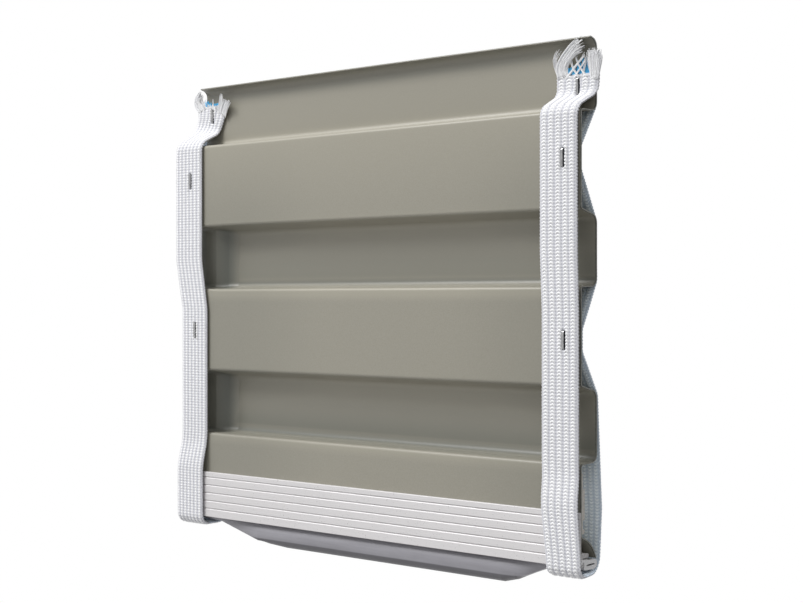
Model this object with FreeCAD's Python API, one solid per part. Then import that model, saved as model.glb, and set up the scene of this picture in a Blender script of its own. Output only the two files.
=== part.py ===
"""Cut sample of a continuous-sheet roller door curtain, with its bottom rail.

One roll-formed steel sheet with three pans and three troughs hangs from its cut top edge.
A fluted rail and a backing strip clamp its lower pan. A hollow weather seal slides in the
rail. Two woven tapes go down the front, round under the rail and up the back, and staples
clinch them to the sheet.

Frame, in millimetres: X runs along the width, Y from front to back, Z up. The origin is on
the middle of the sheet's cut top edge.
"""
import FreeCAD, Part
import math
import os

V = FreeCAD.Vector

# Sheet
sheet_width = 277.0
sheet_thickness = 0.55
pan_count = 3
rib_pitch = 85.0
pan_height = 47.4
rib_depth = 13.5
lower_slope_rise = 3.3
upper_slope_rise = 0.4
pan_fold_radius = 1.6
trough_fold_radius = 4.3
edge_setback = 5.5
last_pan_height = 34.8
kick_angle = 22.0
kick_run = 9.3
kick_end_angle = 60.0
kick_end_run = 8.8
kick_radius = 16.0

# Left end, where the two lower troughs are pressed flatter
press_length = 28.0
press_flat_length = 8.0
pressed_share = 0.4
press_station_count = 3

# Rail and the strip behind the sheet
rail_height = 26.4
rail_above_fold = 12.0
rail_thickness = 2.0
rail_edge_radius = 0.35
flute_count = 5
first_land = 3.2
flute_pitch = 4.6
flute_width = 1.0
flute_depth = 0.7
flange_reach = 6.2
flange_thickness = 2.0
flange_above_edge = 4.3
lip_thickness = 1.2
hook_reach = 2.3
hook_thickness = 0.8
hook_height = 0.8
strip_thickness = 2.4
strip_lip_thickness = 0.8
strip_lip_height = 7.8
strip_body_height = 14.7
strip_groove_height = 4.4
strip_web_thickness = 0.9
strip_bead_height = 2.2
strip_bead_front_radius = 1.3
strip_bead_back_radius = 1.0
strip_corner_radius = 0.5

# Rivets through the rail, the sheet and the strip
rivet_drop = 6.1
rivet_diameter = 3.2
rivet_play = 0.1
rivet_head_diameter = 6.0
rivet_head_depth = 1.3
rivet_tail_diameter = 4.0
rivet_tail_tip_diameter = 3.2
rivet_tail_height = 1.2

# Weather seal
seal_wall = 1.7
seal_clearance = 0.3
seal_hang = 12.6
seal_front_bulge = 1.3
seal_depth = 11.4
seal_crease_height = 2.7
seal_flat_depth = 11.4
seal_flat_thickness = 5.2
seal_end_thickness = 4.4
seal_left_flat_length = 23.5
seal_left_ramp = 34.5
seal_left_lobe_run = 7.5
seal_left_lobe_ease = 13.0
seal_right_flat_length = 20.5
seal_right_ramp = 12.0
seal_right_lobe_run = 6.5
seal_right_lobe_ease = 8.0
seal_right_fold_share = 0.34
seal_lobe_share = 0.65
seal_crease_least = 0.12
seal_bead_slack = 0.2
seal_crease_count = 4
seal_neck_count = 2
seal_inner_side_count = 14
seal_ramp_count = 3

# Tapes
tape_width = 21.8
tape_thickness = 2.0
tape_gap = 0.3
tape_inset_right = 0.2
tape_overhang_left = 6.3
dive_angle = 27.0
loop_front_radius = 5.0
loop_back_radius = 8.6
loop_depth = 18.4
loop_drop = 4.6
back_bow = 1.7
back_bow_top = 2.0
weave_end = {"left": 10.5, "right": 17.0}

# Wandering of the tapes: sideways shift of the left and the right edge at each place
tape_edge_shifts = {
    "left": {
        "dive": (0.6, 3.1),
        "upper": (-4.5, -3.7),
        "middle": (1.2, 1.0),
        "rail": (-1.0, -0.9),
        "loop": (-0.9, -0.8),
    },
    "right": {
        "dive": (-0.5, -0.2),
        "upper": (-0.9, -0.9),
        "middle": (0.2, -0.2),
        "rail": (1.2, 0.5),
        "loop": (4.1, 2.2),
    },
}

# Staples: sideways offset from the tape's middle, and height offset from the middle of
# the pan, or depth below the top edge for the top one
staple_places = {
    "left": {"top": (2.0, 16.2), "middle": (-2.8, 3.1), "lower": (1.3, -0.8)},
    "right": {"top": (1.2, 23.0), "middle": (1.2, 0.8), "lower": (1.8, -2.0)},
}
staple_crown = 9.0
staple_wire_width = 1.2
staple_wire_thickness = 0.7
staple_bend_radius = 0.9
staple_clinch = 3.4
staple_sink = 0.5
staple_hole_slack = 0.1
pinch_half_length = 5.4
pinch_radius = 6.0

# Frayed ends: side tufts of loose yarn with the coloured core yarns between them
fray_thickness = 1.6
tuft_width = 7.4
front_tuft_length = {"left": 8.6, "right": 15.4}
back_tuft_length = 9.0
tuft_flare = {"left": 3.0, "right": 4.2}
tuft_lean = 0.28
tuft_gap = 0.3
core_yarn_width = 1.5
core_yarn_thickness = 1.0
core_yarn_count = 3
core_yarn_length = {"left": 3.2, "right": 9.0}

# Worked out from the sizes above
trough_height = rib_pitch - pan_height - lower_slope_rise - upper_slope_rise
trough_y = edge_setback
pan_y = trough_y - rib_depth
half_sheet = sheet_thickness / 2
pan_front_y = pan_y - half_sheet
pan_back_y = pan_y + half_sheet
trough_back_y = trough_y + half_sheet
lower_fold = math.atan2(rib_depth, lower_slope_rise)
upper_fold = math.atan2(rib_depth, upper_slope_rise)
first_floor_z = -edge_setback * lower_slope_rise / rib_depth
left_end = -sheet_width / 2
right_end = sheet_width / 2
last_pan_z = first_floor_z - trough_height - upper_slope_rise - (pan_count - 1) * rib_pitch
last_fold_z = last_pan_z - last_pan_height
rail_top_z = last_fold_z + rail_above_fold
rail_drop = last_pan_z - rail_top_z
rail_bottom_z = rail_top_z - rail_height
rail_front_y = pan_front_y - rail_thickness
flange_bottom_z = rail_bottom_z + flange_above_edge
tape_offset = tape_gap + tape_thickness / 2
front_run_y = pan_front_y - tape_offset
rail_run_y = rail_front_y - tape_offset
pinch_y = pan_back_y + tape_offset
loop_z = rail_bottom_z - loop_drop
loop_top_z = loop_z + loop_front_radius + tape_thickness
rivet_z = rail_top_z - rivet_drop


def turned(angle):
    """unit direction in the Y-Z plane, angle in degrees below the horizontal"""
    return math.cos(math.radians(angle)), -math.sin(math.radians(angle))


def rounded_face(corners, x):
    """flat face at x from corners (y, z, radius), each rounded by its radius"""
    places = [V(x, y, z) for y, z, radius in corners]
    count = len(corners)
    starts, ends, middles = [], [], []
    for i, (y, z, radius) in enumerate(corners):
        here = places[i]
        to_last = (places[i - 1] - here).normalize()
        to_next = (places[(i + 1) % count] - here).normalize()
        half = to_last.getAngle(to_next) / 2
        if radius <= 0 or abs(half - math.pi / 2) < 1e-6:
            starts.append(here)
            ends.append(here)
            middles.append(None)
            continue
        reach = radius / math.tan(half)
        inward = (to_last + to_next).normalize()
        starts.append(here + to_last * reach)
        ends.append(here + to_next * reach)
        middles.append(here + inward * (radius / math.sin(half) - radius))
    edges = []
    for i in range(count):
        if middles[i] is not None:
            edges.append(Part.Arc(starts[i], middles[i], ends[i]).toShape())
        after = starts[(i + 1) % count]
        if ends[i].distanceToPoint(after) > 1e-6:
            edges.append(Part.LineSegment(ends[i], after).toShape())
    return Part.Face(Part.Wire(edges))


def ribbon(path, thickness):
    """corners of a strip whose middle line runs through path (y, z, radius)"""
    sides = {1: [], -1: []}
    last = len(path) - 1
    for i, (y, z, radius) in enumerate(path):
        before = path[max(i - 1, 0)]
        after = path[min(i + 1, last)]
        first = V(0, y - before[0], z - before[1]) if i > 0 else None
        second = V(0, after[0] - y, after[1] - z) if i < last else None
        first = (first or second).normalize()
        second = (second or first).normalize()
        normal_a = V(0, -first.z, first.y)
        normal_b = V(0, -second.z, second.y)
        mitre = (normal_a + normal_b) * (1 / (1 + normal_a.dot(normal_b)))
        turn = first.cross(second).x
        for side in sides:
            shift = mitre * (side * thickness / 2)
            bend = radius - side * math.copysign(thickness / 2, turn)
            bend = bend if 0 < i < last else 0
            sides[side].append((y + shift.y, z + shift.z, max(bend, 0)))
    return sides[1] + sides[-1][::-1]


def extruded(corners, x_from, x_to):
    """solid of an outline of rounded corners between two places along the width"""
    return rounded_face(corners, x_from).extrude(V(x_to - x_from, 0, 0))


def bar(diameter, y_from, y_to, x, z):
    """round bar along Y"""
    return Part.makeCylinder(diameter / 2, y_to - y_from, V(x, y_from, z), V(0, 1, 0))


def sheet_path(share):
    """middle line of the sheet, with the lower troughs at a share of the full depth"""
    path = [(0.0, 0.0, 0.0)]
    fold_share = math.sqrt(share)
    floor_z = first_floor_z
    for rib in range(pan_count):
        deep = share if rib else 1
        depth = rib_depth * deep
        above = trough_fold_radius * (fold_share if rib else 1)
        floor_top = floor_z + lower_slope_rise * (1 - deep)
        pan_top = floor_z - trough_height - upper_slope_rise
        floor_bottom = pan_top + upper_slope_rise * deep
        tall = last_pan_height if rib == pan_count - 1 else pan_height
        pan_top_fold = pan_fold_radius * (fold_share if rib else 1)
        pan_low_fold = pan_fold_radius * (fold_share if rib < pan_count - 1 else 1)
        path.append((pan_y + depth, floor_top, above))
        path.append((pan_y + depth, floor_bottom, above))
        path.append((pan_y, pan_top, pan_top_fold))
        path.append((pan_y, pan_top - tall, pan_low_fold))
        floor_z -= rib_pitch
    along, down = turned(kick_angle)
    knee = (pan_y + kick_run * along, last_fold_z + kick_run * down)
    along, down = turned(kick_end_angle)
    path.append((knee[0], knee[1], kick_radius))
    path.append((knee[0] + kick_end_run * along, knee[1] + kick_end_run * down, 0.0))
    return path


def depth_share(x):
    """share of the full rib depth that the lower troughs have at x"""
    travel = (left_end + press_length - x) / (press_length - press_flat_length)
    travel = min(max(travel, 0.0), 1.0)
    eased = travel * travel * (3 - 2 * travel)
    return 1 - (1 - pressed_share) * eased


def floor_z(rib):
    """heights of the upper and lower corner of one trough's floor"""
    top = first_floor_z - rib * rib_pitch
    return top, top - trough_height


def pan_middle_z(rib):
    """height of the middle of one pan"""
    return floor_z(rib)[1] - upper_slope_rise - pan_height / 2


def tape_span(side):
    """where one tape lies along the width"""
    if side == "left":
        start = left_end - tape_overhang_left
        return start, start + tape_width
    end = right_end - tape_inset_right
    return end - tape_width, end


def staple_place(side, which):
    """x and z of the middle of one staple"""
    shift, height = staple_places[side][which]
    low, high = tape_span(side)
    x = (low + high) / 2 + shift
    if which == "top":
        return x, -height
    return x, pan_middle_z(0 if which == "middle" else 1) + height


def corner_before(pinch, fold_z, back_y, radius, upward):
    """corner of the back run that lets it go round a trough's fold and on to a pinch"""
    centre_y = back_y - radius
    across = pinch[0] - centre_y
    along = (pinch[1] - fold_z) * upward
    reach = math.hypot(across, along)
    lean = math.atan2(-across, along) + math.asin(radius / reach)
    return fold_z + upward * radius * math.tan(lean / 2)


def dive_heights():
    """heights of the lower and upper corner of the tape's dive into the top trough"""
    fold_z = floor_z(0)[1] - upper_slope_rise - pan_fold_radius * math.tan(upper_fold / 2)
    fold_radius = pan_fold_radius + half_sheet + tape_offset
    low_z = fold_z + fold_radius * math.tan(math.radians(90 - dive_angle) / 2)
    return low_z, low_z + rib_depth * math.tan(math.radians(dive_angle))


def tape_path(side):
    """middle line of one tape, from its frayed end at the front to the one at the back"""
    floor_run_y = trough_y - half_sheet - tape_offset
    back_run_y = trough_back_y + tape_offset
    station_run = (press_length - press_flat_length) / press_station_count
    high = tape_span(side)[1] + tape_edge_shifts[side]["middle"][1]
    share = depth_share(min(high + station_run / 2, right_end))
    low_z, high_z = dive_heights()
    path = [(floor_run_y, -weave_end[side], 0)]
    path.append((floor_run_y, high_z, tape_thickness * 2.5))
    path.append((front_run_y, low_z, pan_fold_radius + half_sheet + tape_offset))
    path.append((front_run_y, rail_top_z + rail_drop * 0.75, rail_drop * 2))
    path.append((rail_run_y, rail_top_z + rail_drop * 0.2, rail_drop * 2))
    path.append((rail_run_y, loop_z, loop_front_radius))
    path.append((rail_run_y + loop_depth + back_bow, loop_z + tape_thickness / 4, loop_back_radius))
    path.append((back_run_y + back_bow + back_bow_top, rail_top_z, rail_drop))
    for rib, which in ((1, "lower"), (0, "middle")):
        z = staple_place(side, which)[1]
        for upward, trough in ((1, rib + 1), (-1, rib)):
            deep = share if trough else 1.0
            back_y = pan_y + rib_depth * deep + half_sheet + tape_offset
            inner = trough_fold_radius * math.sqrt(deep)
            outer = inner + half_sheet + tape_offset
            edge_z = floor_z(trough)[0 if upward > 0 else 1]
            fold = lower_fold if upward > 0 else upper_fold
            rise = lower_slope_rise if upward > 0 else upper_slope_rise
            fold_end = edge_z + upward * (rise * (1 - deep) - inner * math.tan(fold / 2))
            pinch = (pinch_y, z - upward * pinch_half_length)
            corner = corner_before(pinch, fold_end, back_y, outer, upward)
            bend = [(back_y, corner, outer), (pinch[0], pinch[1], pinch_radius)]
            path += bend if upward > 0 else bend[::-1]
    path.append((back_run_y, -weave_end[side], 0))
    return path


def staple_reach(which):
    """Y of the crown's and the clinch's wire centres, both sunk into the tape's outer face"""
    floor_front = trough_y if which == "top" else pan_y
    stack = half_sheet + tape_gap + tape_thickness - staple_sink
    return floor_front - stack, floor_front + stack


def staple_holes(side, which):
    """the two square holes for one staple's legs in the sheet"""
    x, z = staple_place(side, which)
    front_y, back_y = staple_reach(which)
    wide = staple_wire_width + 2 * staple_hole_slack
    tall = staple_wire_thickness + 2 * staple_hole_slack
    holes = []
    for leg_z in (z - staple_crown / 2, z + staple_crown / 2):
        corner = V(x - wide / 2, front_y, leg_z - tall / 2)
        holes.append(Part.makeBox(wide, back_y - front_y, tall, corner))
    return holes


def make_staple(side, which, slack=0.0):
    """one flat-wire staple, or with some slack the pocket that it lies in"""
    x, z = staple_place(side, which)
    front_y, back_y = staple_reach(which)
    half = staple_crown / 2
    tip = half - staple_clinch - slack
    path = [
        (back_y, z - tip, 0),
        (back_y, z - half, staple_bend_radius),
        (front_y, z - half, staple_bend_radius),
        (front_y, z + half, staple_bend_radius),
        (back_y, z + half, staple_bend_radius),
        (back_y, z + tip, 0),
    ]
    wide = staple_wire_width / 2 + slack
    return extruded(ribbon(path, staple_wire_thickness + 2 * slack), x - wide, x + wide)


def make_sheet():
    """the roll-formed sheet, its pressed left end and the holes for staples and rivets"""
    full_from = left_end + press_length
    body = extruded(ribbon(sheet_path(1.0), sheet_thickness), full_from, right_end)
    sections = []
    for station in range(press_station_count + 1):
        part = station / press_station_count
        x = full_from - part * (press_length - press_flat_length)
        sections.append(rounded_face(ribbon(sheet_path(depth_share(x)), sheet_thickness), x))
    change = Part.makeLoft([face.OuterWire for face in sections], True, True)
    flat = ribbon(sheet_path(pressed_share), sheet_thickness)
    end = extruded(flat, left_end, left_end + press_flat_length)
    sheet = body.fuse([change, end]).removeSplitter()
    holes = []
    for side, which in staples():
        holes += staple_holes(side, which)
    for side in ("left", "right"):
        holes.append(rivet_hole(side))
    return sheet.cut(holes)


def staples():
    """side and place of every staple"""
    return [(side, which) for side in staple_places for which in staple_places[side]]


def rivet_x(side):
    """the rivet sits under the tape, in the middle of what the tape and the rail share"""
    low, high = tape_span(side)
    return (max(low, left_end) + min(high, right_end)) / 2


def make_rail():
    """fluted plate with a seal channel along its back"""
    back = pan_front_y
    corners = [(back, rail_top_z, rail_edge_radius), (rail_front_y, rail_top_z, rail_edge_radius)]
    for flute in range(flute_count):
        z = rail_top_z - first_land - flute * flute_pitch
        half = flute_width / 2
        corners.append((rail_front_y, z + half, 0))
        corners.append((rail_front_y + flute_depth, z + half / 2, 0))
        corners.append((rail_front_y, z - half, 0))
    lip_top = rail_bottom_z + lip_thickness
    hook_in = back + hook_reach - hook_thickness
    hook_out = back + hook_reach
    flange_top = flange_bottom_z + flange_thickness
    tip = pan_y + flange_reach
    tip_radius = flange_thickness / 2 * 0.98
    corners += [
        (rail_front_y, rail_bottom_z, rail_edge_radius),
        (hook_out, rail_bottom_z, rail_edge_radius),
        (hook_out, lip_top + hook_height, rail_edge_radius),
        (hook_in, lip_top + hook_height, 0),
        (hook_in, lip_top, 0),
        (back, lip_top, 0),
        (back, flange_bottom_z, 0),
        (tip, flange_bottom_z, tip_radius),
        (tip, flange_top, tip_radius),
        (back, flange_top, rail_edge_radius),
    ]
    rail = extruded(corners, left_end, right_end)
    for side in ("left", "right"):
        rail = rail.cut([rivet_hole(side), rivet_head(side, rivet_play / 2)])
    return rail


def rivet_hole(side):
    """hole for one rivet's shank through the rail, the sheet and the strip"""
    reach = pan_back_y + strip_thickness
    return bar(rivet_diameter + rivet_play, rail_front_y, reach, rivet_x(side), rivet_z)


def rivet_head(side, room=0.0):
    """countersunk head of one rivet, or with some room its seat in the rail"""
    return Part.makeCone(
        rivet_head_diameter / 2 + room,
        rivet_diameter / 2 + room,
        rivet_head_depth + room,
        V(rivet_x(side), rail_front_y, rivet_z),
        V(0, 1, 0),
    )


def make_rivet(side):
    """countersunk rivet with its set tail in the strip's groove"""
    x = rivet_x(side)
    web_back = pan_back_y + strip_web_thickness
    shank = bar(rivet_diameter, rail_front_y, web_back, x, rivet_z)
    tail = Part.makeCone(
        rivet_tail_diameter / 2,
        rivet_tail_tip_diameter / 2,
        rivet_tail_height,
        V(x, web_back, rivet_z),
        V(0, 1, 0),
    )
    return rivet_head(side).fuse([shank, tail]).removeSplitter()


def make_strip():
    """backing strip: thin lip, thick body, groove for the rivet tails and a bead"""
    front = pan_back_y
    thin = front + strip_lip_thickness
    thick = front + strip_thickness
    web = front + strip_web_thickness
    groove_top = rivet_z + strip_groove_height / 2
    groove_low = rivet_z - strip_groove_height / 2
    body_top = groove_top + strip_body_height
    r = strip_corner_radius
    corners = [
        (front, body_top + strip_lip_height, 0),
        (thin, body_top + strip_lip_height, r / 2),
        (thin, body_top, 0),
        (thick, body_top, r),
        (thick, groove_top, r),
        (web, groove_top, 0),
        (web, groove_low, 0),
        (thick, groove_low, r),
        (thick, groove_low - strip_bead_height, strip_bead_back_radius),
        (front, groove_low - strip_bead_height, strip_bead_front_radius),
    ]
    strip = extruded(corners, left_end, right_end)
    return strip.cut([rivet_hole(side) for side in ("left", "right")])


def seal_outline(flatness, lobe, thickness):
    """points of the seal's outside, from hanging (0) to squashed (1), with its lower lobe
    tucked in (0) or out (1)"""
    top = flange_bottom_z - seal_clearance
    front = pan_front_y + hook_reach + seal_clearance
    under_lip = rail_bottom_z - seal_clearance
    bulge_y = rail_front_y + seal_front_bulge
    crease = rail_bottom_z - seal_hang + seal_crease_height
    low = crease - seal_crease_height * max(lobe, seal_crease_least)
    back = bulge_y + seal_depth
    tall = top - low
    hanging = [
        (front, top - 0.7),
        (front, under_lip + 0.2),
        (bulge_y + 1.1, under_lip - 1.9),
        (bulge_y, (under_lip + crease) / 2),
        (bulge_y + 0.4, crease),
        (bulge_y + 0.18 * seal_depth, low + 0.3 * (crease - low)),
        (bulge_y + 0.42 * seal_depth, low),
        (back - 1.6, low + 0.16 * tall),
        (back, low + 0.48 * tall),
        (back - 1.0, low + 0.82 * tall),
        (back - 0.3 * seal_depth, top - 0.5),
        (front + 1.5, top - 0.1),
    ]
    flat_top = top - 1.3
    flat_low = flat_top - thickness
    flat_back = front + seal_flat_depth
    squashed = [
        (front, top - 0.7),
        (front, flat_low + 0.45 * (top - flat_low)),
        (front, flat_low + 0.3 * (top - flat_low)),
        (front + 0.1, flat_low + 0.16 * (top - flat_low)),
        (front + 0.6, flat_low + 0.1),
        (front + 0.18 * seal_flat_depth, flat_low),
        (front + 0.5 * seal_flat_depth, flat_low),
        (flat_back - 1.3, flat_low + 0.3),
        (flat_back, (flat_top + flat_low) / 2),
        (flat_back - 1.2, flat_top - 0.2),
        (front + 0.5 * seal_flat_depth, flat_top),
        (front + 1.5, top - 0.5),
    ]
    return [
        (y + (flat_y - y) * flatness, z + (flat_z - z) * flatness)
        for (y, z), (flat_y, flat_z) in zip(hanging, squashed)
    ]


def two_curves(places, corner):
    """closed wire of two smooth curves that meet at the first place and at a corner"""
    curves = []
    for part in (places[: corner + 1], places[corner:] + places[:1]):
        curve = Part.BSplineCurve()
        curve.interpolate(part)
        curves.append(curve.toShape())
    return Part.Wire(curves)


def seal_outer_ring(points, x):
    """outer edge of the seal at x, with its corners at the neck and at the crease"""
    return two_curves([V(x, y, z) for y, z in points], seal_crease_count)


def seal_inner_ring(points, x, flatness):
    """many-sided inner edge of the seal at x, a wall's thickness inside the outer points"""
    kept = points[seal_neck_count:-1]
    side_a = min(y for y, z in kept) + seal_wall
    side_b = max(y for y, z in kept) - seal_wall
    floor = min(z for y, z in kept) + seal_wall
    roof = max(z for y, z in kept) - seal_wall * (2 - flatness)
    places = []
    for step in range(seal_inner_side_count):
        angle = 2 * math.pi * step / seal_inner_side_count
        y = (side_a + side_b + (side_b - side_a) * math.cos(angle)) / 2
        z = (floor + roof + (roof - floor) * math.sin(angle)) / 2
        places.append(V(x, y, z))
    return Part.makePolygon(places + places[:1])


def seal_stations():
    """places along the width with the seal's flatness, lobe and squashed thickness there"""
    left_ramp = left_end + seal_left_flat_length
    left_fold = left_ramp + seal_left_ramp
    right_ramp = right_end - seal_right_flat_length
    right_fold = right_ramp - seal_right_ramp
    share = seal_right_fold_share
    part_out = seal_lobe_share
    left_out = left_fold + seal_left_lobe_run
    right_out = right_fold - seal_right_lobe_run
    flat = seal_flat_thickness
    return [
        (left_end, 1.0, 0.0, seal_end_thickness),
        (left_ramp, 1.0, 0.0, flat),
        (left_fold, 0.0, 0.0, flat),
        (left_out, 0.0, part_out, flat),
        (left_out + seal_left_lobe_ease, 0.0, 1.0, flat),
        (right_out - seal_right_lobe_ease, 0.0, 1.0, flat),
        (right_out, share * (1 - part_out), part_out, flat),
        (right_fold, share, 0.0, flat),
        (right_ramp, 1.0, 0.0, flat),
        (right_end, 1.0, 0.0, seal_end_thickness),
    ]


def seal_wall_part(start, end):
    """hollow length of the seal between two stations, straight from one to the other"""
    steps = max(1, math.ceil(abs(end[1] - start[1]) * seal_ramp_count))
    outer, inner = [], []
    for step in range(steps + 1):
        mixed = [a + (b - a) * step / steps for a, b in zip(start, end)]
        x, flatness, lobe, thickness = mixed
        points = seal_outline(flatness, lobe, thickness)
        outer.append(seal_outer_ring(points, x))
        inner.append(seal_inner_ring(points, x, flatness))
    return Part.makeLoft(outer, True, True).cut(Part.makeLoft(inner, True, True))


def make_seal():
    """hollow seal with the bead that slides in the rail's channel"""
    stations = seal_stations()
    walls = [seal_wall_part(a, b) for a, b in zip(stations, stations[1:])]
    shell = walls[0].fuse(walls[1:])
    slack = seal_bead_slack
    lip_top = rail_bottom_z + lip_thickness
    neck_top = flange_bottom_z - seal_clearance - 0.5
    neck_low = lip_top + hook_height + slack
    hook_in = pan_front_y + hook_reach - hook_thickness
    bead_back = hook_in - slack
    front = pan_front_y + slack
    wall_y = pan_front_y + hook_reach + seal_clearance
    corners = [
        (front, flange_bottom_z - slack, 0.3),
        (bead_back, flange_bottom_z - slack, 0.3),
        (bead_back, neck_top, 0),
        (wall_y + seal_wall / 2, neck_top, 0),
        (wall_y + seal_wall / 2, neck_low, 0),
        (bead_back, neck_low, 0),
        (bead_back, lip_top + slack, 0.3),
        (front, lip_top + slack, 0.3),
    ]
    bead = extruded(corners, left_end, right_end)
    return shell.fuse(bead).removeSplitter()


def tape_edges(side, face):
    """height, left edge and right edge of one tape at its places down the front or the back"""
    low, high = tape_span(side)
    shifts = tape_edge_shifts[side]
    low_dive, high_dive = dive_heights()
    places = [
        ("dive", 0.0),
        ("dive", high_dive),
        ("upper", low_dive - tape_thickness),
        ("upper", (floor_z(1)[0] + floor_z(1)[1]) / 2),
        ("middle", pan_middle_z(1) + pan_height / 4),
        ("middle", last_pan_z),
        ("rail", rail_top_z),
        ("loop", loop_top_z),
        ("loop", loop_z - tape_width),
    ]
    edges = []
    for place, z in places:
        straight = face == "back" and place in ("rail", "loop")
        high_shift = shifts["middle" if straight else place][1]
        edges.append((z, low + shifts[place][0], high + high_shift))
    return edges


def face_course(side, face):
    """block with the outline that one tape has when it is seen from the front"""
    edges = tape_edges(side, face)
    points = [V(low, -rib_pitch, z) for z, low, high in edges]
    points += [V(high, -rib_pitch, z) for z, low, high in reversed(edges)]
    outline = Part.Face(Part.makePolygon(points + points[:1]))
    return outline.extrude(V(0, 2 * rib_pitch, 0))


def loop_course(side, front_y, back_y):
    """block with the outline that one tape has under the rail, when it is seen from below"""
    front = tape_edges(side, "front")[-1][1:]
    back = tape_edges(side, "back")[-1][1:]
    rows = [(-rib_pitch, front), (front_y, front), (back_y, back), (rib_pitch, back)]
    bottom = loop_z - tape_width
    points = [V(edges[0], y, bottom) for y, edges in rows]
    points += [V(edges[1], y, bottom) for y, edges in reversed(rows)]
    outline = Part.Face(Part.makePolygon(points + points[:1]))
    return outline.extrude(V(0, 0, 2 * rib_pitch))


def make_tape(side):
    """one woven tape, with the holes and pockets of its staples"""
    path = tape_path(side)
    turn = [place[1] for place in path].index(loop_z)
    front_end = (rail_run_y, loop_top_z, 0)
    corner, next_corner = path[turn + 1], path[turn + 2]
    back_start = (
        (corner[0] + next_corner[0]) / 2,
        (corner[1] + next_corner[1]) / 2,
        0,
    )
    low, high = tape_span(side)
    low -= tape_width
    high += tape_width
    runs = [
        (path[:turn] + [front_end], face_course(side, "front")),
        (
            [front_end, path[turn], corner, back_start],
            loop_course(side, rail_run_y + tape_thickness, back_start[0] - tape_thickness),
        ),
        ([back_start] + path[turn + 2 :], face_course(side, "back")),
    ]
    pieces = []
    for run, course in runs:
        pieces.append(extruded(ribbon(run, tape_thickness), low, high).common(course))
    strip = pieces[0].fuse(pieces[1:])
    pockets = [make_staple(side, which, staple_hole_slack) for which in staple_places[side]]
    return strip.cut(pockets)


def tuft(x_low, x_high, top_low, top_high, y, z, length, lean):
    """one tuft of loose yarns: a wedge that flares and leans as it rises"""
    half = fray_thickness / 2
    base = [(x_low, y - half), (x_high, y - half), (x_high, y + half), (x_low, y + half)]
    tip_y = y + lean
    tip = [(top_low, tip_y - half), (top_high, tip_y - half)]
    tip += [(top_high, tip_y + half), (top_low, tip_y + half)]
    rings = []
    for corners, height in ((base, z), (tip, z + length)):
        points = [V(x, place_y, height) for x, place_y in corners]
        rings.append(Part.makePolygon(points + points[:1]))
    return Part.makeLoft(rings, True, True)


def make_fray(side, face):
    """loose yarns of one cut tape end: a tuft at each edge of the tape"""
    top_z, low, high = tape_edges(side, face)[0]
    path = tape_path(side)
    y = path[0][0] if face == "front" else path[-1][0]
    length = front_tuft_length[side] if face == "front" else back_tuft_length
    z = -weave_end[side] + tuft_gap
    lean = length * (-tuft_lean if face == "front" else tuft_lean)
    flare = tuft_flare[side] if face == "front" else 1.0
    left_tuft = tuft(low, low + tuft_width, low, low + tuft_width - 1, y, z, length, lean)
    right_tuft = tuft(high - tuft_width, high, high - tuft_width + 1, high + flare, y, z, length, lean)
    return Part.makeCompound([left_tuft, right_tuft])


def make_core_yarns(side):
    """coloured flat core yarns that stand between the two front tufts"""
    top_z, low, high = tape_edges(side, "front")[0]
    y = tape_path(side)[0][0]
    z = -weave_end[side] + tuft_gap
    room = high - low - 2 * tuft_width
    half = core_yarn_thickness / 2
    yarns = []
    for place in range(core_yarn_count):
        x = low + tuft_width + room * (place + 0.5) / core_yarn_count
        length = core_yarn_length[side] * (1 - 0.25 * (place % 2))
        corner = V(x - core_yarn_width / 2, y - half, z)
        yarns.append(Part.makeBox(core_yarn_width, core_yarn_thickness, length, corner))
    return Part.makeCompound(yarns)


def build():
    """every piece by its node name"""
    pieces = {
        "curtain_sheet": make_sheet(),
        "bottom_rail": make_rail(),
        "rail_backing_strip": make_strip(),
        "weather_seal": make_seal(),
    }
    for side in ("left", "right"):
        pieces[f"{side}_rail_rivet"] = make_rivet(side)
        pieces[f"{side}_tape"] = make_tape(side)
        pieces[f"{side}_front_frayed_end"] = make_fray(side, "front")
        pieces[f"{side}_back_frayed_end"] = make_fray(side, "back")
        pieces[f"{side}_core_yarns"] = make_core_yarns(side)
        for which in staple_places[side]:
            pieces[f"{side}_{which}_staple"] = make_staple(side, which)
    return pieces


os.makedirs("parts", exist_ok=True)
for name, shape in build().items():
    shape.exportStep(f"parts/{name}.step")
    box = shape.BoundBox
    print(
        f"{name:24s} solids {len(shape.Solids)} valid {shape.isValid()} volume {shape.Volume:9.1f}"
        f"  X {box.XMin:7.1f} {box.XMax:7.1f}  Y {box.YMin:6.1f} {box.YMax:6.1f}"
        f"  Z {box.ZMin:7.1f} {box.ZMax:7.1f}"
    )
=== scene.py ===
"""Looks of the roller door curtain sample: woven tapes, loose yarns, metal and rubber."""
import math

import bpy
import numpy as np
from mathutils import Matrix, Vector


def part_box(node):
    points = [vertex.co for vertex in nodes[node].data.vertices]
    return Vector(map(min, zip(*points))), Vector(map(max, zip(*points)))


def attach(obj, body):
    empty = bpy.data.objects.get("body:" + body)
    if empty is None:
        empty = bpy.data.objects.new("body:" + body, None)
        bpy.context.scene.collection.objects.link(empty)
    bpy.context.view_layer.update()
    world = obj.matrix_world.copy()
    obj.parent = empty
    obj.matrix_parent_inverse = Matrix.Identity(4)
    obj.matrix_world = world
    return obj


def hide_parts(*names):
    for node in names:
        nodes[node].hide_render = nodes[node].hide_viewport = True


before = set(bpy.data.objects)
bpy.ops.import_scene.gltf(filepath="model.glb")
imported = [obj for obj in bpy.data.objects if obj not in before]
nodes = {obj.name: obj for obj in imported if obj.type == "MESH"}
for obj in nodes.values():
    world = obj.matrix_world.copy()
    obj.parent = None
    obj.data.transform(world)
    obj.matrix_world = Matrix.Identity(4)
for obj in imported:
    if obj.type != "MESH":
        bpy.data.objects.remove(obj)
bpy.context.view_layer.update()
MM = 0.001
SIDES = ("left", "right")

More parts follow.
